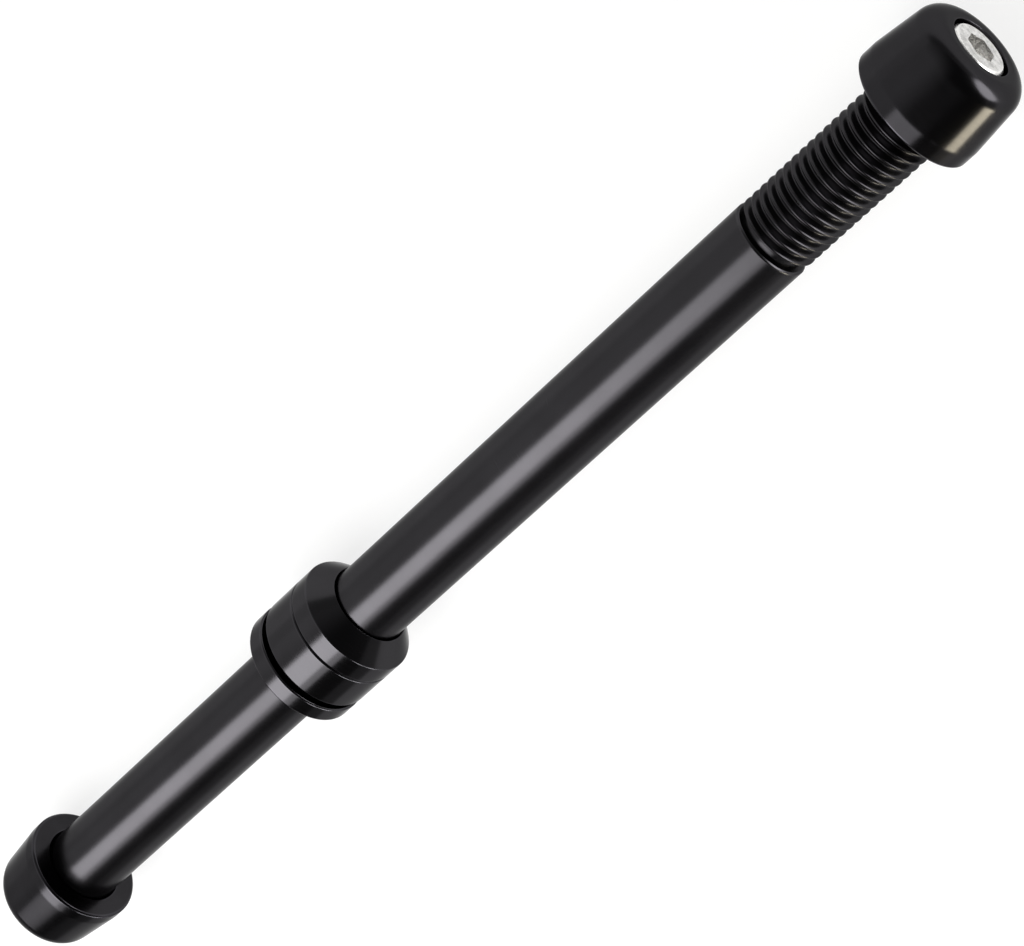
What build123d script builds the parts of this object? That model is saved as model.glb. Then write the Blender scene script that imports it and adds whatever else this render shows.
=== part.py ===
"""Bicycle thru axle: a plain 12 mm shaft with a threaded end, a fixed tapered head, three loose rings
that slide on the shaft, and a tapered end cap held by one socket-head screw.

Frame: +X runs along the shaft from the head to the threaded end, +Z is up, and the origin is on the
shaft's axis, midway between the outer ends. All sizes are in millimetres.
"""

import os
from math import radians, tan

from build123d import *

# Shaft and thread
overall_length = 212.0  # from the head's outer end to the end cap's outer end
shaft_diameter = 12.0
thread_major_diameter = 11.85
thread_depth = 0.9
thread_reach = 26.2  # from the end of the plain shaft to the end cap's inner face
relief_width = 1.1
shaft_edge_chamfer = 0.25
thread_lead_in = 0.8

# Tapered caps, alike outside but for their length and the width of their rim
head_length = 12.0
head_rim_width = 2.0
end_cap_length = 12.4
end_cap_rim_width = 2.6
cap_rim_diameter = 18.8
cap_taper_angle = 6.3
cap_end_round = 3.0
cap_rim_chamfer = 0.3
bore_mouth_chamfer = 0.35

# Head: bonded on the shaft, with a hex socket for the key
head_bore_depth = 5.5
head_bond_gap = 0.02
key_size = 6.0
key_depth = 5.0
key_mouth_chamfer = 0.3

# End cap: slips over the threaded end
cap_bore_depth = 5.1
cap_slip_clearance = 0.1
cap_web = 2.2

# Cap screw, M5 with a socket head
screw_diameter = 5.0
screw_length = 16.0
screw_head_diameter = 8.5
screw_head_height = 5.0
screw_head_chamfer = 0.4
screw_key_size = 4.0
screw_key_depth = 2.5
screw_tip_chamfer = 0.6
screw_head_clearance = 0.35
screw_hole_clearance = 0.25
tapped_hole_clearance = 0.1
tapped_hole_spare = 4.0
drill_point_angle = 118.0

# Loose rings
ring_diameter = 18.8
ring_slide_clearance = 0.1
ring_edge_chamfer = 0.22
thin_spacer_width = 2.9
wide_spacer_width = 6.45
cone_ring_width = 6.35
cone_nose_angle = 45.0
cone_nose_lip = 0.1
thin_spacer_gap = 1.1  # between the thin spacer and the wide one, as they lie
ring_stack_distance = 57.7  # from the head's inner face to the thin spacer

# Radii and places along the axis
shaft_radius = shaft_diameter / 2
thread_radius = thread_major_diameter / 2
thread_root_radius = thread_radius - thread_depth
ring_radius = ring_diameter / 2
ring_bore_radius = shaft_radius + ring_slide_clearance
screw_radius = screw_diameter / 2
screw_head_radius = screw_head_diameter / 2
head_face = head_length - overall_length / 2
cap_face = overall_length / 2 - end_cap_length
shaft_start = head_face - head_bore_depth
shaft_end = cap_face + cap_bore_depth
plain_end = cap_face - thread_reach
thread_start = plain_end + relief_width
screw_seat = shaft_end + cap_web
thin_spacer_start = head_face + ring_stack_distance
wide_spacer_start = thin_spacer_start + thin_spacer_width + thin_spacer_gap
cone_ring_start = wide_spacer_start + wide_spacer_width

# Half sections are drawn with local X along the axis and local Y away from it
axis_plane = Plane(origin=(0, 0, 0), x_dir=(1, 0, 0), z_dir=(0, -1, 0))
cap_plane = Plane(origin=(cap_face, 0, 0), x_dir=(1, 0, 0), z_dir=(0, -1, 0))
head_plane = Plane(origin=(head_face, 0, 0), x_dir=(-1, 0, 0), z_dir=(0, 1, 0))


def turn(plane, *corners, mode=Mode.ADD):
    """Turns a closed half section about the shaft's axis."""
    with BuildSketch(plane) as section:
        with BuildLine():
            Polyline(*corners, close=True)
        make_face()
    revolve(section.sketch, axis=Axis.X, mode=mode)


def turn_cap(part, plane, length, rim_width):
    """Turns a cap's outside: a short straight rim, then a taper to a rounded outer end."""
    rim_radius = cap_rim_diameter / 2
    taper_drop = (length - rim_width) * tan(radians(cap_taper_angle))
    turn(
        plane,
        (0, 0),
        (0, rim_radius),
        (rim_width, rim_radius),
        (length, rim_radius - taper_drop),
        (length, 0),
    )
    along_cap = Axis(plane.origin, plane.x_dir)
    round_edges = part.edges().filter_by(GeomType.CIRCLE).group_by(along_cap)
    chamfer(round_edges[0], cap_rim_chamfer)
    fillet(round_edges[-1], cap_end_round)


def bore_cap(part, plane, radius, depth):
    """Bores a cap from its inner face and breaks the bore's mouth."""
    inner_face = Plane(origin=plane.origin, z_dir=-plane.x_dir)
    with Locations(inner_face):
        Hole(radius, depth=depth)
    along_cap = Axis(plane.origin, plane.x_dir)
    mouth = part.edges().filter_by(GeomType.CIRCLE).group_by(along_cap)[0].sort_by(SortBy.RADIUS)[0]
    chamfer(mouth, bore_mouth_chamfer)


def outer_end(plane, length):
    """The plane of a cap's outer end, looking away from the shaft."""
    return Plane(origin=plane.origin + plane.x_dir * length, z_dir=plane.x_dir)


def cut_hex_socket(plane, size, depth):
    """Cuts a hex key's socket, measured across its flats, into the plane's face."""
    with BuildSketch(plane) as outline:
        RegularPolygon(radius=size / 2, side_count=6, major_radius=False)
    extrude(outline.sketch, amount=-depth, mode=Mode.SUBTRACT)


def turn_ring(part, start, width):
    """Turns a plain ring that slides on the shaft, with broken edges inside and out."""
    turn(
        axis_plane,
        (start, ring_bore_radius),
        (start, ring_radius),
        (start + width, ring_radius),
        (start + width, ring_bore_radius),
    )
    chamfer(part.edges().filter_by(GeomType.CIRCLE), ring_edge_chamfer)


# Shaft: plain over most of its length, then a run-out groove and the threaded end with its tapped hole
with BuildPart() as axle_shaft:
    turn(
        axis_plane,
        (shaft_start, 0),
        (shaft_start, shaft_radius),
        (plain_end, shaft_radius),
        (plain_end, thread_root_radius),
        (thread_start, thread_root_radius),
        (thread_start, thread_radius),
        (shaft_end, thread_radius),
        (shaft_end, 0),
    )
    rims = axle_shaft.edges().filter_by(GeomType.CIRCLE).group_by(Axis.X)
    chamfer(rims[0] + rims[1].sort_by(SortBy.RADIUS)[-1:], shaft_edge_chamfer)
    chamfer(rims[-1], thread_lead_in)
    hole_radius = screw_radius + tapped_hole_clearance
    hole_end = screw_seat - screw_length - tapped_hole_spare
    turn(
        axis_plane,
        (shaft_end, 0),
        (shaft_end, hole_radius),
        (hole_end, hole_radius),
        (hole_end - hole_radius / tan(radians(drill_point_angle / 2)), 0),
        mode=Mode.SUBTRACT,
    )

# Head: much like the end cap outside, bored for the shaft, with the key's socket in its outer end
with BuildPart() as head_cap:
    turn_cap(head_cap, head_plane, head_length, head_rim_width)
    bore_cap(head_cap, head_plane, shaft_radius + head_bond_gap, head_bore_depth)
    cut_hex_socket(outer_end(head_plane, head_length), key_size, key_depth)
    socket_mouth = head_cap.faces().filter_by(Axis.X).sort_by(Axis.X)[0].inner_wires()[0]
    chamfer(socket_mouth.edges(), key_mouth_chamfer)

# Loose rings, in their order from the head
with BuildPart() as thin_spacer:
    turn_ring(thin_spacer, thin_spacer_start, thin_spacer_width)

with BuildPart() as wide_spacer:
    turn_ring(wide_spacer, wide_spacer_start, wide_spacer_width)

with BuildPart() as cone_ring:
    nose_end = cone_ring_start + cone_ring_width
    nose_radius = ring_bore_radius + ring_edge_chamfer + cone_nose_lip
    nose_length = (ring_radius - nose_radius) / tan(radians(cone_nose_angle))
    turn(
        axis_plane,
        (cone_ring_start, ring_bore_radius),
        (cone_ring_start, ring_radius),
        (nose_end - nose_length, ring_radius),
        (nose_end, nose_radius),
        (nose_end, ring_bore_radius),
    )
    back_and_bore = cone_ring.edges().filter_by(GeomType.CIRCLE).group_by(Axis.X)
    chamfer(back_and_bore[0] + back_and_bore[-1].sort_by(SortBy.RADIUS)[:1], ring_edge_chamfer)

# End cap: bored to slip over the thread, with a counterbored hole for its screw
with BuildPart() as end_cap:
    turn_cap(end_cap, cap_plane, end_cap_length, end_cap_rim_width)
    bore_cap(end_cap, cap_plane, thread_radius + cap_slip_clearance, cap_bore_depth)
    with Locations(outer_end(cap_plane, end_cap_length)):
        CounterBoreHole(
            radius=screw_radius + screw_hole_clearance,
            counter_bore_radius=screw_head_radius + screw_head_clearance,
            counter_bore_depth=end_cap_length - cap_bore_depth - cap_web,
        )

# Cap screw: its head sits in the counterbore and its shank runs into the shaft's tapped hole
with BuildPart() as cap_screw:
    head_top = screw_seat + screw_head_height
    turn(
        axis_plane,
        (screw_seat - screw_length, 0),
        (screw_seat - screw_length, screw_radius),
        (screw_seat, screw_radius),
        (screw_seat, screw_head_radius),
        (head_top, screw_head_radius),
        (head_top, 0),
    )
    ends = cap_screw.edges().filter_by(GeomType.CIRCLE).group_by(Axis.X)
    chamfer(ends[0], screw_tip_chamfer)
    chamfer(ends[-1], screw_head_chamfer)
    cut_hex_socket(Plane(origin=(head_top, 0, 0), z_dir=(1, 0, 0)), screw_key_size, screw_key_depth)

pieces = {
    "axle_shaft": axle_shaft,
    "head_cap": head_cap,
    "thin_spacer": thin_spacer,
    "wide_spacer": wide_spacer,
    "cone_ring": cone_ring,
    "end_cap": end_cap,
    "cap_screw": cap_screw,
}
os.makedirs("parts", exist_ok=True)
for name, piece in pieces.items():
    piece.part.label = name
    export_step(piece.part, f"parts/{name}.step")
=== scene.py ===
"""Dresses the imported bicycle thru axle: anodised shaft, caps and rings, and a stainless cap screw.

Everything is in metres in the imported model's own frame: +X runs along the shaft from the fixed head to
the threaded end, and +Z is up.
"""

import logging
import math
from collections.abc import Mapping, Sequence
from dataclasses import dataclass
from enum import Enum
from typing import Any, ClassVar

import bmesh
import bpy
from mathutils import Matrix, Vector


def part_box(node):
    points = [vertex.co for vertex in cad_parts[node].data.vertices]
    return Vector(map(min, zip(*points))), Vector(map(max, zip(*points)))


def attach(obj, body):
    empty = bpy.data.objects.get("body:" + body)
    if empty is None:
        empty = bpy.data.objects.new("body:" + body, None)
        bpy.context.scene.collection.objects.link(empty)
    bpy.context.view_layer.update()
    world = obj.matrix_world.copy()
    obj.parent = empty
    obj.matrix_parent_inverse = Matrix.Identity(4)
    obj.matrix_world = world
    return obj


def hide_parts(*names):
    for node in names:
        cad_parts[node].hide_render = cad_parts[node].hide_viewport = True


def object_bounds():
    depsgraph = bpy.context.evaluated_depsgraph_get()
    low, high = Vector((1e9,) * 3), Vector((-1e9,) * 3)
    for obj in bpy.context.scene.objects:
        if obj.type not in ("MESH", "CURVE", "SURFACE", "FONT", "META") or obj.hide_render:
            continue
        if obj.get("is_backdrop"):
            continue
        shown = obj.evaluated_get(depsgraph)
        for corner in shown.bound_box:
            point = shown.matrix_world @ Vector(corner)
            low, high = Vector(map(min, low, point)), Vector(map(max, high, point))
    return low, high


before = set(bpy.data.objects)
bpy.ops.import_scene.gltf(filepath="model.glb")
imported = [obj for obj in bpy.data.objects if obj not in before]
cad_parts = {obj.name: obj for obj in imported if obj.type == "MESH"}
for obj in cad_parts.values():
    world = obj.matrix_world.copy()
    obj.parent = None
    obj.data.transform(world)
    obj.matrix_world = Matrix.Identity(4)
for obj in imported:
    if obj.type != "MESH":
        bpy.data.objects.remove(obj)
log = logging.getLogger("thru_axle")

MM = 0.001
WHITE = "#FFFFFF"
AXIS = Vector((1.0, 0.0, 0.0))
WELD = 0.001 * MM  # points closer than this are one
SHARP_ANGLE = math.radians(38.0)  # an edge that turns more than this is shaded sharp
TURN_STEPS = 144  # points round a turned piece, a multiple of six so that a hex keeps its corners
HEX_SIDE = math.radians(60.0)  # the angle that a side of a hex takes up
ARC_STEP = math.radians(7.0)  # the most that a rounded corner turns from ring to ring
ARC_MIN_STEPS = 3
RING_SUPPORT = 0.08 * MM  # keeps the smooth shading of a round off the long face beside it
SUPPORT_SHARE = 0.3  # the most of that face that the support takes
SHEEN_EASE_LIMIT = 0.5 * MM  # a larger round is part of the form and gets no painted edge highlight
SHEEN_TURN_LIMIT = math.radians(20.0)  # nor does an edge that turns less than this

# Kinds of node that the trees use most
MATH = "ShaderNodeMath"
VECTOR_MATH = "ShaderNodeVectorMath"
MAP_RANGE = "ShaderNodeMapRange"


class Outline(Enum):
    """How a corner of a half section runs round the axis."""

    ROUND = "round"
    HEX = "hex"


class End(Enum):
    """Which way a cap looks along the shaft."""

    HEAD = -1
    THREAD = 1


class LampFace(Enum):
    """The outline of a lamp's face, as Blender names it."""

    RECTANGLE = "RECTANGLE"
    ELLIPSE = "ELLIPSE"


def linear(hex_colour: str) -> tuple[float, float, float, float]:
    """Turns an sRGB hex colour to linear light, by the curve of the sRGB standard.

    Args:
        hex_colour: The colour as "#RRGGBB".

    Returns:
        Red, green, blue and a full alpha.
    """
    shares = [int(hex_colour[place:place + 2], 16) / 255.0 for place in (1, 3, 5)]
    red, green, blue = (
        share / 12.92 if share <= 0.04045 else ((share + 0.055) / 1.055) ** 2.4 for share in shares
    )
    return red, green, blue, 1.0


def add_node(
    tree: bpy.types.NodeTree,
    kind: str,
    inputs: Mapping[str | int, Any] | None = None,
    **settings: Any,
) -> bpy.types.Node:
    """Adds a node with its settings and links.

    Args:
        tree: The tree that gets the node.
        kind: Blender's name for the kind of node.
        inputs: A value, a socket or a node for each named or numbered input. A node gives its first output.
        **settings: Properties of the node itself.

    Returns:
        The new node.
    """
    node = tree.nodes.new(kind)
    for name, value in settings.items():
        setattr(node, name, value)
    for key, value in (inputs or {}).items():
        if isinstance(value, bpy.types.Node):
            value = value.outputs[0]
        if isinstance(value, bpy.types.NodeSocket):
            tree.links.new(value, node.inputs[key])
        else:
            node.inputs[key].default_value = value
    return node


def add_object(name: str, data: bpy.types.ID) -> bpy.types.Object:
    """Adds an object to the scene, at the origin.

    Args:
        name: The object's name.
        data: Its mesh, lamp or camera.

    Returns:
        The new object.
    """
    added = bpy.data.objects.new(name, data)
    bpy.context.scene.collection.objects.link(added)
    return added


def smooth_mesh(name: str, shape: bmesh.types.BMesh) -> bpy.types.Mesh:
    """Merges a shape's doubled points, turns its faces outwards and makes it a smooth mesh.

    Args:
        name: The mesh's name.
        shape: The shape, which is freed.

    Returns:
        The mesh.
    """
    bmesh.ops.remove_doubles(shape, verts=shape.verts, dist=WELD)
    bmesh.ops.recalc_face_normals(shape, faces=shape.faces)
    mesh = bpy.data.meshes.new(name)
    shape.to_mesh(mesh)
    shape.free()
    mesh.shade_smooth()
    return mesh


@dataclass(frozen=True)
class Finish:
    """What every finish has: a name and a way to make its material once."""

    name: str

    def material(self) -> bpy.types.Material:
        """Gives the finish's material, made on first use.

        Returns:
            The material.
        """
        made = bpy.data.materials.get(self.name)
        if made is None:
            made = bpy.data.materials.new(self.name)
            made.use_nodes = True
            made.node_tree.nodes.clear()
            self.paint(made.node_tree)
        return made

    def paint(self, tree: bpy.types.NodeTree) -> None:
        """Lays the finish's nodes into an empty tree."""
        raise NotImplementedError


@dataclass(frozen=True)
class TurnedMetal(Finish):
    """Bare or anodised metal as it comes off a lathe.

    The tool leaves fine rings that run round the axis on the outside and lie one inside the other on an
    end face. To the eye they are a faint silk across the highlight. Handling adds soft patches that are a
    little duller than the rest. Small rounded edges get a paler colour, a painted edge highlight that the
    patches break up.

    Attributes:
        colour: The metal's reflection, as sRGB hex.
        sheen_and_mottle_colour: The paler tone that the patches wander towards, also laid on small rounded
            edges as a painted edge highlight.
        tone_swing: How far the patches go from the one to the other.
        glance: The share of a mirror's shine that is left at a grazing angle, as sRGB hex.
        roughness: The mean roughness.
        roughness_swing: How far the roughness wanders from patch to patch.
        feed_mm: The tool's feed for each turn, as drawn.
        groove_mm: The depth of the tool's rings, as drawn.
        patch_mm: The size of the dull patches.
    """

    colour: str
    sheen_and_mottle_colour: str
    tone_swing: float
    glance: str
    roughness: float
    roughness_swing: float
    feed_mm: float
    groove_mm: float
    patch_mm: float

    # How far each noise breaks up into finer ones, and between which values most of it lies
    RING_NOISE: ClassVar[Mapping[str, float]] = {"Detail": 3.0, "Roughness": 0.65}
    PATCH_NOISE: ClassVar[Mapping[str, float]] = {"Detail": 4.0, "Roughness": 0.55}
    PATCH_RANGE: ClassVar[Mapping[str, float]] = {"From Min": 0.35, "From Max": 0.65}
    BLEND_RANGE: ClassVar[Mapping[str, float]] = {"From Min": 0.6, "From Max": 1.4}

    def paint(self, tree: bpy.types.NodeTree) -> None:
        """Lays the turned metal's nodes.

        Args:
            tree: The material's empty tree.
        """
        place = add_node(tree, "ShaderNodeTexCoord").outputs["Object"]
        along = add_node(tree, "ShaderNodeSeparateXYZ", {0: place}).outputs["X"]
        across = add_node(tree, VECTOR_MATH, {0: place, 1: (0.0, 1.0, 1.0)}, operation="MULTIPLY")
        radius = add_node(tree, VECTOR_MATH, {0: across}, operation="LENGTH").outputs["Value"]
        lathe_place = add_node(tree, "ShaderNodeCombineXYZ", {"X": along, "Y": radius})
        rings = add_node(
            tree,
            "ShaderNodeTexNoise",
            {"Vector": lathe_place, "Scale": 1.0 / (self.feed_mm * MM), **self.RING_NOISE},
            noise_dimensions="2D",
        )
        patches = add_node(
            tree,
            "ShaderNodeTexNoise",
            {"Vector": place, "Scale": 1.0 / (self.patch_mm * MM), **self.PATCH_NOISE},
        )
        blend = add_node(tree, MATH, {0: rings, 1: patches}, operation="ADD")
        dulled = add_node(
            tree,
            MAP_RANGE,
            {
                "Value": blend,
                **self.BLEND_RANGE,
                "To Min": self.roughness - self.roughness_swing,
                "To Max": self.roughness + self.roughness_swing,
            },
        )
        # Small rounded edges take the paler tone as a painted edge highlight, broken up by the patches; the
        # patches also wander in tone by themselves
        edge = add_node(tree, "ShaderNodeAttribute", attribute_name="edge").outputs["Fac"]
        mottle = add_node(tree, MAP_RANGE, {"Value": patches, **self.PATCH_RANGE, "To Max": self.tone_swing})
        sheen_and_mottle = add_node(tree, MATH, {0: edge, 1: patches, 2: mottle}, operation="MULTIPLY_ADD")
        tone = add_node(
            tree,
            "ShaderNodeMix",
            {"Factor": sheen_and_mottle, "A": linear(self.colour), "B": linear(self.sheen_and_mottle_colour)},
            data_type="RGBA",
        )
        bump = add_node(
            tree,
            "ShaderNodeBump",
            {"Strength": 1.0, "Distance": self.groove_mm * MM, "Height": rings},
        )
        surface = add_node(
            tree,
            "ShaderNodeBsdfPrincipled",
            {
                "Base Color": tone.outputs["Result"],
                "Metallic": 1.0,
                "Roughness": dulled,
                "Specular Tint": linear(self.glance),
                "Normal": bump,
            },
        )
        add_node(tree, "ShaderNodeOutputMaterial", {"Surface": surface})


@dataclass(frozen=True)
class PaleSweep(Finish):
    """Matt white paper of the studio's sweep, white to the camera and in reflections.

    Attributes:
        colour: The paper's own colour, as sRGB hex.
        shine: The white that it shows by itself, as sRGB hex.
        own_white: The strength of that white round the object.
        pool_mm: Where the painted pool of light round the object starts to fade towards +X and -Y,
        and where it has faded.
        faded: The share of the white that is left out there.
    """

    colour: str
    shine: str
    own_white: float
    pool_mm: tuple[float, float]
    faded: float

    # The painted pool of light fades towards -Y, and half as fast towards +X
    FADE_WAY: ClassVar[tuple[float, float, float]] = (0.5, -1.0, 0.0)

    def paint(self, tree: bpy.types.NodeTree) -> None:
        """Lays the paper's nodes.

        Args:
            tree: The material's empty tree.
        """
        ray = add_node(tree, "ShaderNodeLightPath").outputs
        seen = add_node(tree, MATH, {0: ray["Is Camera Ray"], 1: ray["Is Glossy Ray"]}, operation="MAXIMUM")
        shown = add_node(tree, MATH, {0: seen, 1: ray["Is Transmission Ray"]}, operation="MAXIMUM")
        place = add_node(tree, "ShaderNodeTexCoord").outputs["Object"]
        fade_way = add_node(tree, VECTOR_MATH, {0: place, 1: self.FADE_WAY}, operation="MULTIPLY")
        far_way = add_node(tree, VECTOR_MATH, {0: fade_way, 1: (0.0, 0.0, 0.0)}, operation="MAXIMUM")
        distance = add_node(tree, VECTOR_MATH, {0: far_way}, operation="LENGTH").outputs["Value"]
        # The paper's own white is strongest round the object and fades further out: a painted pool of light
        pool = add_node(
            tree,
            MAP_RANGE,
            {
                "Value": distance,
                "From Min": self.pool_mm[0] * MM,
                "From Max": self.pool_mm[1] * MM,
                "To Min": self.own_white,
                "To Max": self.own_white * self.faded,
            },
            interpolation_type="SMOOTHSTEP",
        )
        white = add_node(tree, MATH, {0: shown, 1: pool}, operation="MULTIPLY")
        surface = add_node(
            tree,
            "ShaderNodeBsdfPrincipled",
            {
                "Base Color": linear(self.colour),
                "Roughness": 1.0,
                "Specular IOR Level": 0.0,
                "Emission Color": linear(self.shine),
                "Emission Strength": white,
            },
        )
        add_node(tree, "ShaderNodeOutputMaterial", {"Surface": surface})


# In each finish the second colour is the paler tone of the patches, and on small rounded edges a painted edge
# highlight
# Black anodised aluminium: dyed oxide over a turned surface, a near-black satin whose highlights keep a
# faint violet cast. The real feed of about 0.1 mm is under a pixel, so it is drawn about three times as
# coarse.
SHAFT_BLACK = TurnedMetal(
    name="black anodised aluminium, satin turned",
    colour="#353436",
    sheen_and_mottle_colour="#4C4B4E",
    tone_swing=0.12,
    glance="#C3C3C3",
    roughness=0.26,
    roughness_swing=0.015,
    feed_mm=0.3,
    groove_mm=0.00015,
    patch_mm=9.0,
)
# The loose rings are turned finer before they are dyed, so they are a shade glossier than the shaft.
RING_BLACK = TurnedMetal(
    name="black anodised aluminium, fine turned",
    colour="#363537",
    sheen_and_mottle_colour="#464548",
    tone_swing=0.12,
    glance="#C3C3C3",
    roughness=0.17,
    roughness_swing=0.025,
    feed_mm=0.3,
    groove_mm=0.0002,
    patch_mm=7.0,
)
# The caps are polished lightly before they are dyed: a deeper black with a crisper shine than the shaft's.
CAP_BLACK = TurnedMetal(
    name="black anodised aluminium, polished",
    colour="#2E2D2F",
    sheen_and_mottle_colour="#47464A",
    tone_swing=0.12,
    glance="#C3C3C3",
    roughness=0.2,
    roughness_swing=0.025,
    feed_mm=0.3,
    groove_mm=0.0003,
    patch_mm=7.0,
)
# Stainless steel of a standard cap screw: bright and slightly warm, with rings from facing the head. The
# rings are drawn coarser than the real 0.05 mm so that they show.
SCREW_STEEL = TurnedMetal(
    name="stainless steel, turned",
    colour="#BDBCBA",
    sheen_and_mottle_colour="#F1F0EE",
    tone_swing=1.0,
    glance=WHITE,
    roughness=0.27,
    roughness_swing=0.07,
    feed_mm=0.35,
    groove_mm=0.003,
    patch_mm=1.1,
)
# Matt white paper with no shine that takes a soft shadow. The white is its own, a painted pool of light round
# the object that fades further out, and the colour under it stays grey, so that the paper throws little light
# back on the black metal.
STUDIO_PAPER = PaleSweep(
    name="matt white paper",
    colour="#868685",
    shine=WHITE,
    own_white=0.8,
    pool_mm=(180.0, 650.0),
    faded=0.3,
)


@dataclass(frozen=True)
class Corner:
    """A corner of a turned piece's half section.

    Attributes:
        x: Place along the shaft's axis.
        r: Distance from the axis, or half the size across the flats on a hex outline.
        ease: The radius that rounds the corner, or 0 for a sharp one.
        outline: Whether the corner runs round the axis as a circle or as a hex.
        edge: 1 on a small rounded edge, where the finish lays a painted edge highlight.
    """

    x: float
    r: float
    ease: float = 0.0
    outline: Outline = Outline.ROUND
    edge: float = 0.0

    def point(self) -> Vector:
        """The corner in the plane of the half section."""
        return Vector((self.x, self.r))

    def reach(self, angle: float) -> float:
        """The outline's distance from the axis at an angle about it.

        Args:
            angle: Angle about +X from +Y, in radians.

        Returns:
            The distance in metres.
        """
        if self.outline is Outline.ROUND:
            return self.r
        return self.r / math.cos((angle + HEX_SIDE / 2.0) % HEX_SIDE - HEX_SIDE / 2.0)


def ease_corner(before: Corner, corner: Corner, after: Corner) -> list[Corner]:
    """Rounds one corner, with a plain ring on each side that keeps its shading off the long faces.

    Args:
        before: The corner before it.
        corner: The corner to round.
        after: The corner after it.

    Returns:
        The rings that take the corner's place.
    """
    here = corner.point()
    back = before.point() - here
    on = after.point() - here
    back_way, on_way = back.normalized(), on.normalized()
    half = back.angle(on) / 2.0
    reach = corner.ease / math.tan(half)
    centre = here + (back_way + on_way).normalized() * (corner.ease / math.sin(half))
    start = here + back_way * reach - centre
    sweep = math.pi - 2.0 * half
    if start.x * (on.y - back.y) - start.y * (on.x - back.x) < 0.0:
        sweep = -sweep
    steps = max(ARC_MIN_STEPS, math.ceil(abs(sweep) / ARC_STEP))
    # A small, sharply turned round is marked for the painted edge highlight
    edge_sheen = 1.0 if corner.ease < SHEEN_EASE_LIMIT and abs(sweep) > SHEEN_TURN_LIMIT else 0.0
    spare_back, spare_on = (
        min(RING_SUPPORT, SUPPORT_SHARE * max(side.length - reach, 0.0)) for side in (back, on)
    )
    spots = [(here + back_way * (reach + spare_back), 0.0)]
    for step in range(steps + 1):
        angle = sweep * step / steps
        arm = Vector((
            start.x * math.cos(angle) - start.y * math.sin(angle),
            start.x * math.sin(angle) + start.y * math.cos(angle),
        ))
        spots.append((centre + arm, edge_sheen))
    spots.append((here + on_way * (reach + spare_on), 0.0))
    return [Corner(spot.x, spot.y, 0.0, corner.outline, edge) for spot, edge in spots]


def ease_section(corners: Sequence[Corner], closed: bool) -> list[Corner]:
    """Rounds every corner of a half section that asks for it.

    Args:
        corners: The half section's corners in order.
        closed: Whether the last corner joins the first.

    Returns:
        The rings to turn.
    """
    rings: list[Corner] = []
    for index, corner in enumerate(corners):
        at_end = not closed and index in (0, len(corners) - 1)
        if corner.ease > 0.0 and not at_end:
            rings += ease_corner(corners[index - 1], corner, corners[(index + 1) % len(corners)])
        else:
            rings.append(corner)
    return rings


def turn_section(shape: bmesh.types.BMesh, corners: Sequence[Corner], closed: bool = False) -> None:
    """Turns a half section about the shaft's axis into a mesh.

    Args:
        shape: The mesh that gets the faces.
        corners: The half section's corners in order.
        closed: Whether the last corner joins the first, as on a bored piece.
    """
    edge_layer = shape.verts.layers.float.get("edge") or shape.verts.layers.float.new("edge")
    angles = [2.0 * math.pi * step / TURN_STEPS for step in range(TURN_STEPS)]
    loops: list[list[bmesh.types.BMVert]] = []
    for ring in ease_section(corners, closed):
        around = angles if ring.r > WELD else angles[:1]
        loop = []
        for angle in around:
            reach = ring.reach(angle) if ring.r > WELD else 0.0
            vert = shape.verts.new((ring.x, reach * math.cos(angle), reach * math.sin(angle)))
            vert[edge_layer] = ring.edge
            loop.append(vert)
        loops.append(loop)
    following = loops[1:] + loops[:1] if closed else loops[1:]
    for first, second in zip(loops, following):
        for step in range(TURN_STEPS):
            onward = step + 1
            ring_face = [
                first[step % len(first)],
                first[onward % len(first)],
                second[onward % len(second)],
                second[step % len(second)],
            ]
            shape.faces.new(list(dict.fromkeys(ring_face)))


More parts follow.
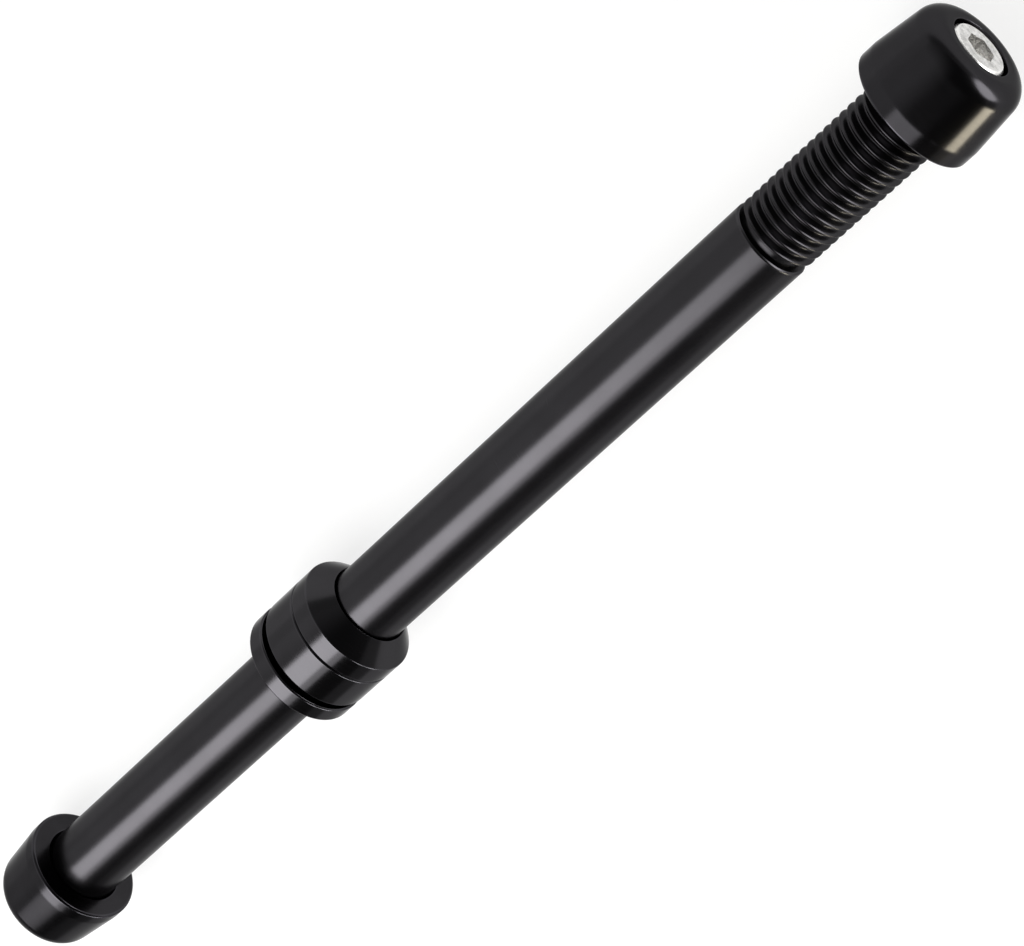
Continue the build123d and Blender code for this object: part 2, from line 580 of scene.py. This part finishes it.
def thread_tree() -> bpy.types.GeometryNodeTree:
    """Builds the node tree of a right-hand thread once.

    A flat grid has one column for each step of a turn and a fixed count of rows for each pitch. Its rows
    climb along the helix, each point gets the radius of the thread's section at its place, and the first
    and last rows close the thread's ends.

    Returns:
        The tree, with named inputs for the thread's sizes.
    """
    name = "right_hand_thread"
    tree = bpy.data.node_groups.get(name)
    if tree is not None:
        return tree
    tree = bpy.data.node_groups.new(name, "GeometryNodeTree")
    tree.interface.new_socket("Geometry", in_out="OUTPUT", socket_type="NodeSocketGeometry")
    for label in HelicalThread.SIZE_INPUTS:
        tree.interface.new_socket(label, in_out="INPUT", socket_type="NodeSocketFloat")
    for label in HelicalThread.COUNT_INPUTS:
        tree.interface.new_socket(label, in_out="INPUT", socket_type="NodeSocketInt")
    tree.interface.new_socket("Material", in_out="INPUT", socket_type="NodeSocketMaterial")
    given = add_node(tree, "NodeGroupInput").outputs

    # Grid: rows along the shaft and columns round it
    length = add_node(tree, MATH, {0: given["End"], 1: given["Start"]}, operation="SUBTRACT")
    pitches = add_node(tree, MATH, {0: length, 1: given["Pitch"]}, operation="DIVIDE")
    whole = add_node(tree, MATH, {0: pitches}, operation="CEIL")
    turns = add_node(tree, MATH, {0: whole, 1: 1.0}, operation="ADD")
    last_row = add_node(tree, MATH, {0: turns, 1: given["Pitch Steps"]}, operation="MULTIPLY")
    rows = add_node(tree, MATH, {0: last_row, 1: 1.0}, operation="ADD")
    columns = add_node(tree, MATH, {0: given["Turn Steps"], 1: 1.0}, operation="ADD")
    grid = add_node(
        tree,
        "GeometryNodeMeshGrid",
        {
            "Size X": last_row,
            "Size Y": given["Turn Steps"],
            "Vertices X": rows,
            "Vertices Y": columns,
        },
    )
    spot = add_node(tree, "ShaderNodeSeparateXYZ", {0: add_node(tree, "GeometryNodeInputPosition")}).outputs
    row = add_node(tree, MATH, {0: last_row, 1: 0.5, 2: spot["X"]}, operation="MULTIPLY_ADD")
    column = add_node(tree, MATH, {0: given["Turn Steps"], 1: 0.5, 2: spot["Y"]}, operation="MULTIPLY_ADD")

    # Place along the shaft: the rows climb one pitch in each turn and stop at the thread's two ends
    turn_share = add_node(tree, MATH, {0: column, 1: given["Turn Steps"]}, operation="DIVIDE")
    climb = add_node(tree, MATH, {0: row, 1: given["Pitch Steps"]}, operation="DIVIDE")
    behind = add_node(tree, MATH, {0: climb, 1: 1.0}, operation="SUBTRACT")
    helix = add_node(tree, MATH, {0: behind, 1: turn_share}, operation="ADD")
    free_x = add_node(tree, MATH, {0: helix, 1: given["Pitch"], 2: given["Start"]}, operation="MULTIPLY_ADD")
    x = add_node(tree, "ShaderNodeClamp", {"Value": free_x, "Min": given["Start"], "Max": given["End"]})

    # Radius: rounded root and crest with smooth flanks between, cut down by the lead-in at each end
    past_start = add_node(tree, MATH, {0: x, 1: given["Start"]}, operation="SUBTRACT")
    before_end = add_node(tree, MATH, {0: given["End"], 1: x}, operation="SUBTRACT")
    travelled = add_node(tree, MATH, {0: past_start, 1: given["Pitch"]}, operation="DIVIDE")
    unwound = add_node(tree, MATH, {0: travelled, 1: turn_share}, operation="SUBTRACT")
    phase = add_node(tree, MATH, {0: unwound}, operation="FRACT")
    centred = add_node(tree, MATH, {0: phase, 1: 0.5}, operation="SUBTRACT")
    off_root = add_node(tree, MATH, {0: centred}, operation="ABSOLUTE")
    root_edge = add_node(tree, MATH, {0: given["Root Flat"], 1: 0.5}, operation="MULTIPLY")
    crest_edge = add_node(tree, MATH, {0: given["Crest Flat"], 1: -0.5, 2: 0.5}, operation="MULTIPLY_ADD")
    section = add_node(
        tree,
        MAP_RANGE,
        {
            "Value": off_root,
            "From Min": root_edge,
            "From Max": crest_edge,
            "To Min": given["Root Radius"],
            "To Max": given["Crest Radius"],
        },
        interpolation_type="SMOOTHSTEP",
    )
    start_room = add_node(
        tree, MATH, {0: given["Crest Radius"], 1: given["Start Lead-in"]}, operation="SUBTRACT"
    )
    start_limit = add_node(tree, MATH, {0: start_room, 1: past_start}, operation="ADD")
    end_room = add_node(tree, MATH, {0: given["Crest Radius"], 1: given["End Lead-in"]}, operation="SUBTRACT")
    end_limit = add_node(tree, MATH, {0: end_room, 1: before_end}, operation="ADD")
    start_cut = add_node(tree, MATH, {0: section, 1: start_limit}, operation="MINIMUM")
    cut = add_node(tree, MATH, {0: start_cut, 1: end_limit}, operation="MINIMUM")
    is_first = add_node(tree, MATH, {0: row, 1: 0.5}, operation="LESS_THAN")
    until_last = add_node(tree, MATH, {0: last_row, 1: 0.5}, operation="SUBTRACT")
    is_last = add_node(tree, MATH, {0: row, 1: until_last}, operation="GREATER_THAN")
    opened = add_node(
        tree,
        "GeometryNodeSwitch",
        {"Switch": is_first, "False": cut, "True": given["Start Radius"]},
        input_type="FLOAT",
    )
    radius = add_node(
        tree,
        "GeometryNodeSwitch",
        {"Switch": is_last, "False": opened, "True": given["End Radius"]},
        input_type="FLOAT",
    )

    # Wrapped round the axis and closed along the seam
    angle = add_node(tree, MATH, {0: turn_share, 1: 2.0 * math.pi}, operation="MULTIPLY")
    cosine = add_node(tree, MATH, {0: angle}, operation="COSINE")
    sine = add_node(tree, MATH, {0: angle}, operation="SINE")
    y = add_node(tree, MATH, {0: radius, 1: cosine}, operation="MULTIPLY")
    z = add_node(tree, MATH, {0: radius, 1: sine}, operation="MULTIPLY")
    wrapped = add_node(
        tree,
        "GeometryNodeSetPosition",
        {"Geometry": grid, "Position": add_node(tree, "ShaderNodeCombineXYZ", {"X": x, "Y": y, "Z": z})},
    )
    welded = add_node(tree, "GeometryNodeMergeByDistance", {"Geometry": wrapped, "Distance": WELD})
    realized = add_node(tree, "GeometryNodeRealizeInstances", {"Geometry": welded})
    dressed = add_node(tree, "GeometryNodeSetMaterial", {"Geometry": realized, "Material": given["Material"]})
    add_node(tree, "NodeGroupOutput", {"Geometry": dressed})
    return tree


@dataclass(frozen=True)
class HelicalThread:
    """A right-hand thread whose section is a V with a rounded crest and root.

    Attributes:
        start: Where the thread starts along the shaft.
        end: Where it ends.
        pitch: The climb in one turn.
        crest_radius: The thread's outer radius.
        root_radius: The radius at the bottom of its groove.
        start_lead_in: The chamfer at its start.
        end_lead_in: The chamfer at its end.
        start_radius: The radius of the ring that closes its start.
        end_radius: The radius of the ring that closes its end.
        pitch_steps: Rows for each pitch, an even count so that the crest and the root fall on whole rows.
    """

    SIZE_INPUTS: ClassVar[tuple[str, ...]] = (
        "Start", "End", "Pitch", "Crest Radius", "Root Radius", "Crest Flat", "Root Flat",
        "Start Lead-in", "End Lead-in", "Start Radius", "End Radius",
    )
    COUNT_INPUTS: ClassVar[tuple[str, ...]] = ("Pitch Steps", "Turn Steps")

    # Shares of the pitch
    CREST_FLAT: ClassVar[float] = 0.05
    ROOT_FLAT: ClassVar[float] = 0.05

    start: float
    end: float
    pitch: float
    crest_radius: float
    root_radius: float
    start_lead_in: float
    end_lead_in: float
    start_radius: float
    end_radius: float
    pitch_steps: int = 20

    def add_to(self, shape: bmesh.types.BMesh, material: bpy.types.Material) -> None:
        """Runs the node tree and adds its plain mesh to a piece.

        Args:
            shape: The piece's mesh.
            material: The material that the tree sets.
        """
        values: dict[str, Any] = dict(zip(self.SIZE_INPUTS, (
            self.start, self.end, self.pitch, self.crest_radius, self.root_radius, self.CREST_FLAT,
            self.ROOT_FLAT, self.start_lead_in, self.end_lead_in, self.start_radius, self.end_radius,
        )))
        values |= {"Pitch Steps": self.pitch_steps, "Turn Steps": TURN_STEPS, "Material": material}
        carrier = add_object("thread_carrier", bpy.data.meshes.new("thread_carrier"))
        modifier = carrier.modifiers.new("thread", "NODES")
        modifier.node_group = thread_tree()
        for socket in modifier.node_group.interface.items_tree:
            if socket.in_out == "INPUT":
                modifier[socket.identifier] = values[socket.name]
        evaluated = carrier.evaluated_get(bpy.context.evaluated_depsgraph_get())
        plain = bpy.data.meshes.new_from_object(evaluated)
        carrier.modifiers.remove(modifier)
        bpy.data.objects.remove(carrier)
        shape.from_mesh(plain)
        bpy.data.meshes.remove(plain)


@dataclass
class TurnedPiece:
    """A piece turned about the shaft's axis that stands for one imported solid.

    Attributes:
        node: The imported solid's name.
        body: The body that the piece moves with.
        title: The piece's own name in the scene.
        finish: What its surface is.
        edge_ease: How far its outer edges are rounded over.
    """

    node: str
    body: str
    title: str
    finish: Finish
    edge_ease: float = 0.25 * MM

    def span(self) -> tuple[float, float, float]:
        """Reads the solid's box.

        Returns:
            The solid's lowest and highest place along the shaft, and its outer radius.
        """
        low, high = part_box(self.node)
        return low[0], high[0], high[2]

    def build(self, shape: bmesh.types.BMesh) -> None:
        """Adds the piece's faces to an empty mesh."""
        raise NotImplementedError

    def dress(self) -> bpy.types.Object:
        """Builds the piece, gives it its finish and sets it in the solid's place.

        Returns:
            The finished object.
        """
        shape = bmesh.new()
        self.build(shape)
        mesh = smooth_mesh(self.title, shape)
        mesh.set_sharp_from_angle(angle=SHARP_ANGLE)
        mesh.materials.append(self.finish.material())
        piece = add_object(self.title, mesh)
        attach(piece, self.body)
        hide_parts(self.node)
        return piece


@dataclass
class AxleShaft(TurnedPiece):
    """The 12 mm shaft: plain, then a run-out groove and the M12 x 1.5 thread with its tapped end."""

    edge_chamfer: float = 0.25 * MM
    thread_length: float = 30.2 * MM
    relief_width: float = 1.1 * MM
    thread_radius: float = 5.925 * MM
    thread_depth: float = 0.9 * MM
    thread_pitch: float = 1.5 * MM
    lead_in: float = 0.8 * MM
    hole_radius: float = 2.6 * MM
    hole_depth: float = 17.8 * MM
    drill_point: float = math.radians(118.0)

    def build(self, shape: bmesh.types.BMesh) -> None:
        """Adds the plain shaft, the thread and the tapped hole.

        Args:
            shape: The piece's empty mesh.
        """
        start, end, radius = self.span()
        thread_start = end - self.thread_length
        plain_end = thread_start - self.relief_width
        root = self.thread_radius - self.thread_depth
        chamfer = self.edge_chamfer
        ease = self.edge_ease
        turn_section(shape, (
            Corner(start, 0.0),
            Corner(start, radius - chamfer),
            Corner(start + chamfer, radius),
            Corner(plain_end - chamfer, radius, ease),
            Corner(plain_end, radius - chamfer, ease),
            Corner(plain_end, root),
            Corner(thread_start, root),
        ))
        HelicalThread(
            start=thread_start,
            end=end,
            pitch=self.thread_pitch,
            crest_radius=self.thread_radius,
            root_radius=root,
            start_lead_in=0.0,
            end_lead_in=self.lead_in,
            start_radius=root,
            end_radius=self.hole_radius,
        ).add_to(shape, self.finish.material())
        hole_end = end - self.hole_depth
        turn_section(shape, (
            Corner(end, self.hole_radius),
            Corner(hole_end, self.hole_radius),
            Corner(hole_end - self.hole_radius / math.tan(self.drill_point / 2.0), 0.0),
        ))


@dataclass
class TaperCap(TurnedPiece):
    """The outside that both caps share: a short straight rim, then a taper to a rounded outer end."""

    end: End = End.THREAD
    rim_width: float = 2.0 * MM
    taper: float = math.radians(6.3)
    end_round: float = 3.0 * MM
    rim_chamfer: float = 0.3 * MM
    rim_blend: float = 4.0 * MM
    bore_radius: float = 6.02 * MM
    bore_depth: float = 5.5 * MM
    mouth_chamfer: float = 0.35 * MM

    def along(self, depth: float) -> float:
        """The place along the shaft at a depth from the cap's inner face."""
        low, high, _ = self.span()
        return low + depth if self.end is End.THREAD else high - depth

    def length(self) -> float:
        """The cap's length along the shaft."""
        low, high, _ = self.span()
        return high - low

    def outside(self) -> list[Corner]:
        """The corners from the outer end back over the rim to the inner face.

        Returns:
            The corners, starting with the outer end's rounded corner.
        """
        _, _, radius = self.span()
        length = self.length()
        small = radius - (length - self.rim_width) * math.tan(self.taper)
        return [
            Corner(self.along(length), small, self.end_round),
            Corner(self.along(self.rim_width), radius, self.rim_blend),
            Corner(self.along(self.rim_chamfer), radius, self.edge_ease),
            Corner(self.along(0.0), radius - self.rim_chamfer, self.edge_ease),
        ]

    def bore(self) -> list[Corner]:
        """The corners from the inner face into the bore, as far as the bore's floor.

        Returns:
            The corners, ending with the one between the bore and its floor.
        """
        return [
            Corner(self.along(0.0), self.bore_radius + self.mouth_chamfer, self.edge_ease),
            Corner(self.along(self.mouth_chamfer), self.bore_radius, self.edge_ease),
            Corner(self.along(self.bore_depth), self.bore_radius),
        ]


@dataclass
class HeadCap(TaperCap):
    """The fixed head: bored for the shaft, with the key's socket in its outer end."""

    key_size: float = 6.0 * MM
    key_depth: float = 5.0 * MM
    key_chamfer: float = 0.3 * MM

    def build(self, shape: bmesh.types.BMesh) -> None:
        """Adds the socket, the outside and the bore as one closed skin.

        Args:
            shape: The piece's empty mesh.
        """
        length = self.length()
        flat = self.key_size / 2.0
        floor = self.along(length - self.key_depth)
        turn_section(shape, (
            Corner(floor, 0.0),
            Corner(floor, flat, outline=Outline.HEX),
            Corner(self.along(length - self.key_chamfer), flat, outline=Outline.HEX),
            Corner(self.along(length), flat + self.key_chamfer, outline=Outline.HEX),
            *self.outside(),
            *self.bore(),
            Corner(self.along(self.bore_depth), 0.0),
        ))


@dataclass
class EndCap(TaperCap):
    """The loose end cap: bored to slip over the thread, with a counterbored hole for its screw."""

    web: float = 2.2 * MM
    hole_radius: float = 2.75 * MM
    counterbore_radius: float = 4.6 * MM
    lip_ease: float = 0.1 * MM

    def build(self, shape: bmesh.types.BMesh) -> None:
        """Adds the counterbore, the outside, the bore and the screw's hole as one closed skin.

        Args:
            shape: The piece's empty mesh.
        """
        seat = self.along(self.bore_depth + self.web)
        turn_section(shape, (
            Corner(seat, self.hole_radius),
            Corner(seat, self.counterbore_radius),
            Corner(self.along(self.length()), self.counterbore_radius, self.lip_ease),
            *self.outside(),
            *self.bore(),
            Corner(self.along(self.bore_depth), self.hole_radius),
        ), closed=True)


@dataclass
class SpacerRing(TurnedPiece):
    """A loose ring that slides on the shaft, with broken edges inside and out."""

    bore_radius: float = 6.1 * MM
    chamfer: float = 0.22 * MM

    def nose(self) -> list[Corner]:
        """The corners of the end towards the thread, from the outside to the bore.

        Returns:
            The corners, ending with the one on the bore.
        """
        _, end, radius = self.span()
        return [
            Corner(end - self.chamfer, radius, self.edge_ease),
            Corner(end, radius - self.chamfer, self.edge_ease),
            Corner(end, self.bore_radius + self.chamfer, self.edge_ease),
            Corner(end - self.chamfer, self.bore_radius, self.edge_ease),
        ]

    def build(self, shape: bmesh.types.BMesh) -> None:
        """Adds the ring as one closed skin.

        Args:
            shape: The piece's empty mesh.
        """
        start, _, radius = self.span()
        turn_section(shape, (
            Corner(start + self.chamfer, self.bore_radius, self.edge_ease),
            Corner(start, self.bore_radius + self.chamfer, self.edge_ease),
            Corner(start, radius - self.chamfer, self.edge_ease),
            Corner(start + self.chamfer, radius, self.edge_ease),
            *self.nose(),
        ), closed=True)


@dataclass
class ConeRing(SpacerRing):
    """The ring whose end is a 45 degree cone that centres in a countersink."""

    nose_angle: float = math.radians(45.0)
    nose_lip: float = 0.1 * MM
    lip_ease: float = 0.03 * MM

    def nose(self) -> list[Corner]:
        """The cone's corners, from the outside to the bore.

        Returns:
            The corners, ending with the one on the bore.
        """
        _, end, radius = self.span()
        tip = self.bore_radius + self.chamfer + self.nose_lip
        return [
            Corner(end - (radius - tip) / math.tan(self.nose_angle), radius, self.edge_ease),
            Corner(end, tip, self.lip_ease),
            Corner(end, self.bore_radius + self.chamfer, self.lip_ease),
            Corner(end - self.chamfer, self.bore_radius, self.edge_ease),
        ]


@dataclass
class CapScrew(TurnedPiece):
    """The M5 socket-head screw that holds the end cap."""

    head_height: float = 5.0 * MM
    head_chamfer: float = 0.4 * MM
    key_size: float = 4.0 * MM
    key_depth: float = 2.5 * MM
    shank_radius: float = 2.5 * MM
    plain_shank: float = 1.0 * MM
    thread_depth: float = 0.45 * MM
    thread_pitch: float = 0.8 * MM
    tip_chamfer: float = 0.6 * MM

    def build(self, shape: bmesh.types.BMesh) -> None:
        """Adds the head with its socket, the plain shank and the thread.

        Args:
            shape: The piece's empty mesh.
        """
        tip, top, radius = self.span()
        seat = top - self.head_height
        thread_end = seat - self.plain_shank
        flat = self.key_size / 2.0
        floor = top - self.key_depth
        turn_section(shape, (
            Corner(floor, 0.0),
            Corner(floor, flat, outline=Outline.HEX),
            Corner(top, flat, outline=Outline.HEX),
            Corner(top, radius - self.head_chamfer, self.edge_ease),
            Corner(top - self.head_chamfer, radius, self.edge_ease),
            Corner(seat, radius, self.edge_ease),
            Corner(seat, self.shank_radius),
            Corner(thread_end, self.shank_radius),
        ))
        HelicalThread(
            start=tip,
            end=thread_end,
            pitch=self.thread_pitch,
            crest_radius=self.shank_radius,
            root_radius=self.shank_radius - self.thread_depth,
            start_lead_in=self.tip_chamfer,
            end_lead_in=0.0,
            start_radius=0.0,
            end_radius=self.shank_radius,
        ).add_to(shape, self.finish.material())


@dataclass(frozen=True)
class SoftBox:
    """A soft studio lamp.

    Attributes:
        name: The lamp's name.
        place: Its middle.
        aim: The point that it faces.
        size: Its length along the shaft and its width.
        brightness: The brightness of its face, where 1 is paper white.
        colour: Its light, as sRGB hex.
        spread: The angle of the beam that its grid lets out.
        face: The outline of its face.
    """

    name: str
    place: tuple[float, float, float]
    aim: tuple[float, float, float]
    size: tuple[float, float]
    brightness: float
    colour: str = WHITE
    spread: float = math.pi
    face: LampFace = LampFace.RECTANGLE

    def face_area(self) -> float:
        """The area of the lamp's face."""
        box_area = self.size[0] * self.size[1]
        return box_area if self.face is LampFace.RECTANGLE else box_area * math.pi / 4.0

    def beam_share(self) -> float:
        """The share of the open lamp's light that the grid lets out, for the same brightness straight on."""
        half = self.spread / 2.0
        return 1.0 if self.spread >= math.pi else 1.0 - half / math.tan(half)

    def hang(self) -> None:
        """Adds the lamp to the scene, unseen by the camera itself."""
        lamp = bpy.data.lights.new(self.name, "AREA")
        lamp.shape = self.face.value
        lamp.size, lamp.size_y = self.size
        lamp.energy = self.brightness * self.beam_share() * math.pi * self.face_area()
        lamp.color = linear(self.colour)[:3]
        lamp.spread = self.spread
        back = (Vector(self.place) - Vector(self.aim)).normalized()
        across = back.cross(AXIS).normalized()
        along = across.cross(back).normalized()
        turned = Matrix((along, across, back)).transposed().to_4x4()
        hung = add_object(self.name, lamp)
        hung.matrix_world = Matrix.Translation(self.place) @ turned
        hung.visible_camera = False


@dataclass
class Studio:
    """The pale sweep, the soft lamps and the camera at the photograph's angle.

    Attributes:
        sweep_radius: How far the flat floor reaches.
        sweep_rise: How high the sweep's rim curves up.
        sweep_arc_steps: Steps of that curve.
        sweep_turn_steps: Steps of the sweep round its middle.
        room_dim: The brightness of the room's dark side, towards -Y, where 1 is paper white.
        room_bright: How much brighter its palest corner is, towards -X and +Y.
        room_turn: Where the dark side turns to the pale one, as shares of the way towards +Y.
        room_fade: Where the pale side starts to fade and where it is gone, as shares of the way towards +X.
        lens_mm: The camera's focal length.
        sensor_mm: The width of its sensor.
        near_clip: The nearest thing that it sees.
        distance: The camera's distance from the aim.
        aim_x: Where the camera aims along the shaft.
        aim_across: How far beside the shaft's axis it aims.
        lean: The angle between its line of sight and the plane across the shaft.
        height: How far it is raised round the shaft from the side.
        roll: How far the shaft's picture is turned from level.
        lamps: The soft lamps.
    """

    sweep_radius: float = 1.6
    sweep_rise: float = 0.75
    sweep_arc_steps: int = 12
    sweep_turn_steps: int = 96
    room_dim: float = 0.07
    room_bright: float = 1.0
    room_turn: tuple[float, float] = (0.0, 0.7)
    room_fade: tuple[float, float] = (-0.9, 1.2)
    lens_mm: float = 112.34
    sensor_mm: float = 36.0
    near_clip: float = 0.01
    distance: float = 0.44385
    aim_x: float = 0.01348
    aim_across: float = 0.00017
    lean: float = math.radians(32.206)
    height: float = math.radians(96.0)
    roll: float = math.radians(42.335)
    lamps: tuple[SoftBox, ...] = (
        # A wide box overhead and a brighter one just under it draw the highlight along the shaft
        SoftBox(
            "wide_soft_box",
            place=(-0.585, -0.046, 0.6),
            aim=(-0.585, -0.046, 0.0),
            size=(0.93, 0.617),
            brightness=3.0,
        ),
        SoftBox(
            "key_soft_box",
            place=(-0.51, 0.008, 0.595),
            aim=(-0.51, 0.008, 0.0),
            size=(0.48, 0.405),
            brightness=5.2,
        ),
        # A small warm panel shows in the end cap's taper, and a round one in its rounded end
        SoftBox(
            "warm_strip",
            place=(0.078, -0.12, 0.015),
            aim=(0.085, 0.0, 0.015),
            size=(0.03, 0.04),
            brightness=24.0,
            colour="#FFF7D5",
            spread=math.radians(70.0),
        ),
        SoftBox(
            "front_strip",
            place=(0.2, -0.09, 0.014),
            aim=(0.105, 0.0, 0.0),
            size=(0.11, 0.1),
            brightness=7.64,
            face=LampFace.ELLIPSE,
        ),
        # Two gridded panels light the lower edges of the shaft and the rings, and miss the end cap
        SoftBox(
            "low_edge_strip",
            place=(-0.06, -0.31, 0.065),
            aim=(-0.06, 0.0, 0.0),
            size=(0.12, 0.12),
            brightness=15.0,
            spread=math.radians(40.0),
        ),
        SoftBox(
            "high_edge_strip",
            place=(-0.06, -0.26, 0.18),
            aim=(-0.06, 0.0, 0.0),
            size=(0.12, 0.12),
            brightness=15.0,
            spread=math.radians(40.0),
        ),
    )

    def lay_sweep(self, floor: float) -> None:
        """Lays the floor, whose rim curves up into the backdrop on every side.

        Args:
            floor: The floor's height.
        """
        shape = bmesh.new()
        section = [(0.0, floor), (self.sweep_radius, floor)]
        for step in range(1, self.sweep_arc_steps + 1):
            angle = math.pi / 2.0 * step / self.sweep_arc_steps
            section.append((
                self.sweep_radius + self.sweep_rise * math.sin(angle),
                floor + self.sweep_rise * (1.0 - math.cos(angle)),
            ))
        verts = [shape.verts.new((radius, 0.0, height)) for radius, height in section]
        edges = [shape.edges.new(pair) for pair in zip(verts, verts[1:])]
        bmesh.ops.spin(
            shape,
            geom=verts + edges,
            cent=(0.0, 0.0, 0.0),
            axis=(0.0, 0.0, 1.0),
            angle=2.0 * math.pi,
            steps=self.sweep_turn_steps,
            use_merge=True,
            use_normal_flip=False,
            use_duplicate=False,
        )
        mesh = smooth_mesh("paper_sweep", shape)
        mesh.materials.append(STUDIO_PAPER.material())
        sweep = add_object("paper_sweep", mesh)
        sweep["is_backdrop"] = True

    def hang_lamps(self) -> None:
        """Hangs the soft lamps."""
        for lamp in self.lamps:
            lamp.hang()

    def dim_room(self) -> None:
        """Dims the room round the object, but for its pale corner towards -X and +Y."""
        world = bpy.data.worlds.new("dim_studio")
        world.use_nodes = True
        tree = world.node_tree
        tree.nodes.clear()
        heading = add_node(tree, "ShaderNodeTexCoord").outputs["Generated"]
        way = add_node(tree, "ShaderNodeSeparateXYZ", {0: heading}).outputs
        pale_side = add_node(
            tree,
            MAP_RANGE,
            {"Value": way["Y"], "From Min": self.room_turn[0], "From Max": self.room_turn[1]},
            interpolation_type="SMOOTHSTEP",
        )
        pale_end = add_node(
            tree,
            MAP_RANGE,
            {
                "Value": way["X"],
                "From Min": self.room_fade[0],
                "From Max": self.room_fade[1],
                "To Min": self.room_bright,
                "To Max": 0.0,
            },
        )
        brightness = add_node(
            tree,
            MATH,
            {0: pale_side, 1: pale_end, 2: self.room_dim},
            operation="MULTIPLY_ADD",
        )
        room = add_node(tree, "ShaderNodeBackground", {"Color": linear(WHITE), "Strength": brightness})
        add_node(tree, "ShaderNodeOutputWorld", {"Surface": room})
        bpy.context.scene.world = world

    def set_camera(self) -> None:
        """Sets the camera at the photograph's angle."""
        side = Vector((0.0, -math.cos(self.height), math.sin(self.height)))
        back = AXIS * math.sin(self.lean) + side * math.cos(self.lean)
        level = AXIS * math.cos(self.lean) - side * math.sin(self.lean)
        across = Vector((0.0, math.sin(self.height), math.cos(self.height)))
        right = level * math.cos(self.roll) - across * math.sin(self.roll)
        up = level * math.sin(self.roll) + across * math.cos(self.roll)
        lens = bpy.data.cameras.new("photo_camera")
        lens.lens = self.lens_mm
        lens.sensor_width = self.sensor_mm
        lens.clip_start = self.near_clip
        camera = add_object("photo_camera", lens)
        camera.matrix_world = Matrix.Translation(
            AXIS * self.aim_x + across * self.aim_across + back * self.distance
        ) @ Matrix((right, up, back)).transposed().to_4x4()
        bpy.context.scene.camera = camera


def as_lists(box: Sequence[Sequence[float]]) -> list[list[float]]:
    """Turns a box's corners to plain lists of numbers."""
    return [[float(value) for value in corner] for corner in box]


def main() -> None:
    """Builds the pieces in their order from the head and logs their faces, then the studio."""
    logging.basicConfig(level=logging.INFO, format="%(message)s")
    cad_box = as_lists(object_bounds())
    pieces: tuple[TurnedPiece, ...] = (
        AxleShaft("axle_shaft", "axle", "anodised_shaft", SHAFT_BLACK),
        HeadCap("head_cap", "axle", "tapered_head", CAP_BLACK, end=End.HEAD),
        SpacerRing("thin_spacer", "thin_spacer", "thin_ring", RING_BLACK),
        SpacerRing("wide_spacer", "wide_spacer", "wide_ring", RING_BLACK),
        ConeRing("cone_ring", "cone_ring", "cone_nosed_ring", RING_BLACK),
        EndCap(
            "end_cap", "end_cap", "tapered_end_cap", CAP_BLACK,
            rim_width=2.6 * MM, bore_radius=6.025 * MM, bore_depth=5.1 * MM,
        ),
        CapScrew("cap_screw", "cap_screw", "socket_screw", SCREW_STEEL),
    )
    for piece in pieces:
        dressed = piece.dress()
        log.info("%s: %d faces, moves with %s", dressed.name, len(dressed.data.polygons), piece.body)
    studio = Studio()
    studio.lay_sweep(floor=cad_box[0][2])
    studio.hang_lamps()
    studio.dim_room()
    studio.set_camera()
    bpy.context.scene.view_settings.view_transform = "Standard"


if __name__ == "__main__":
    main()
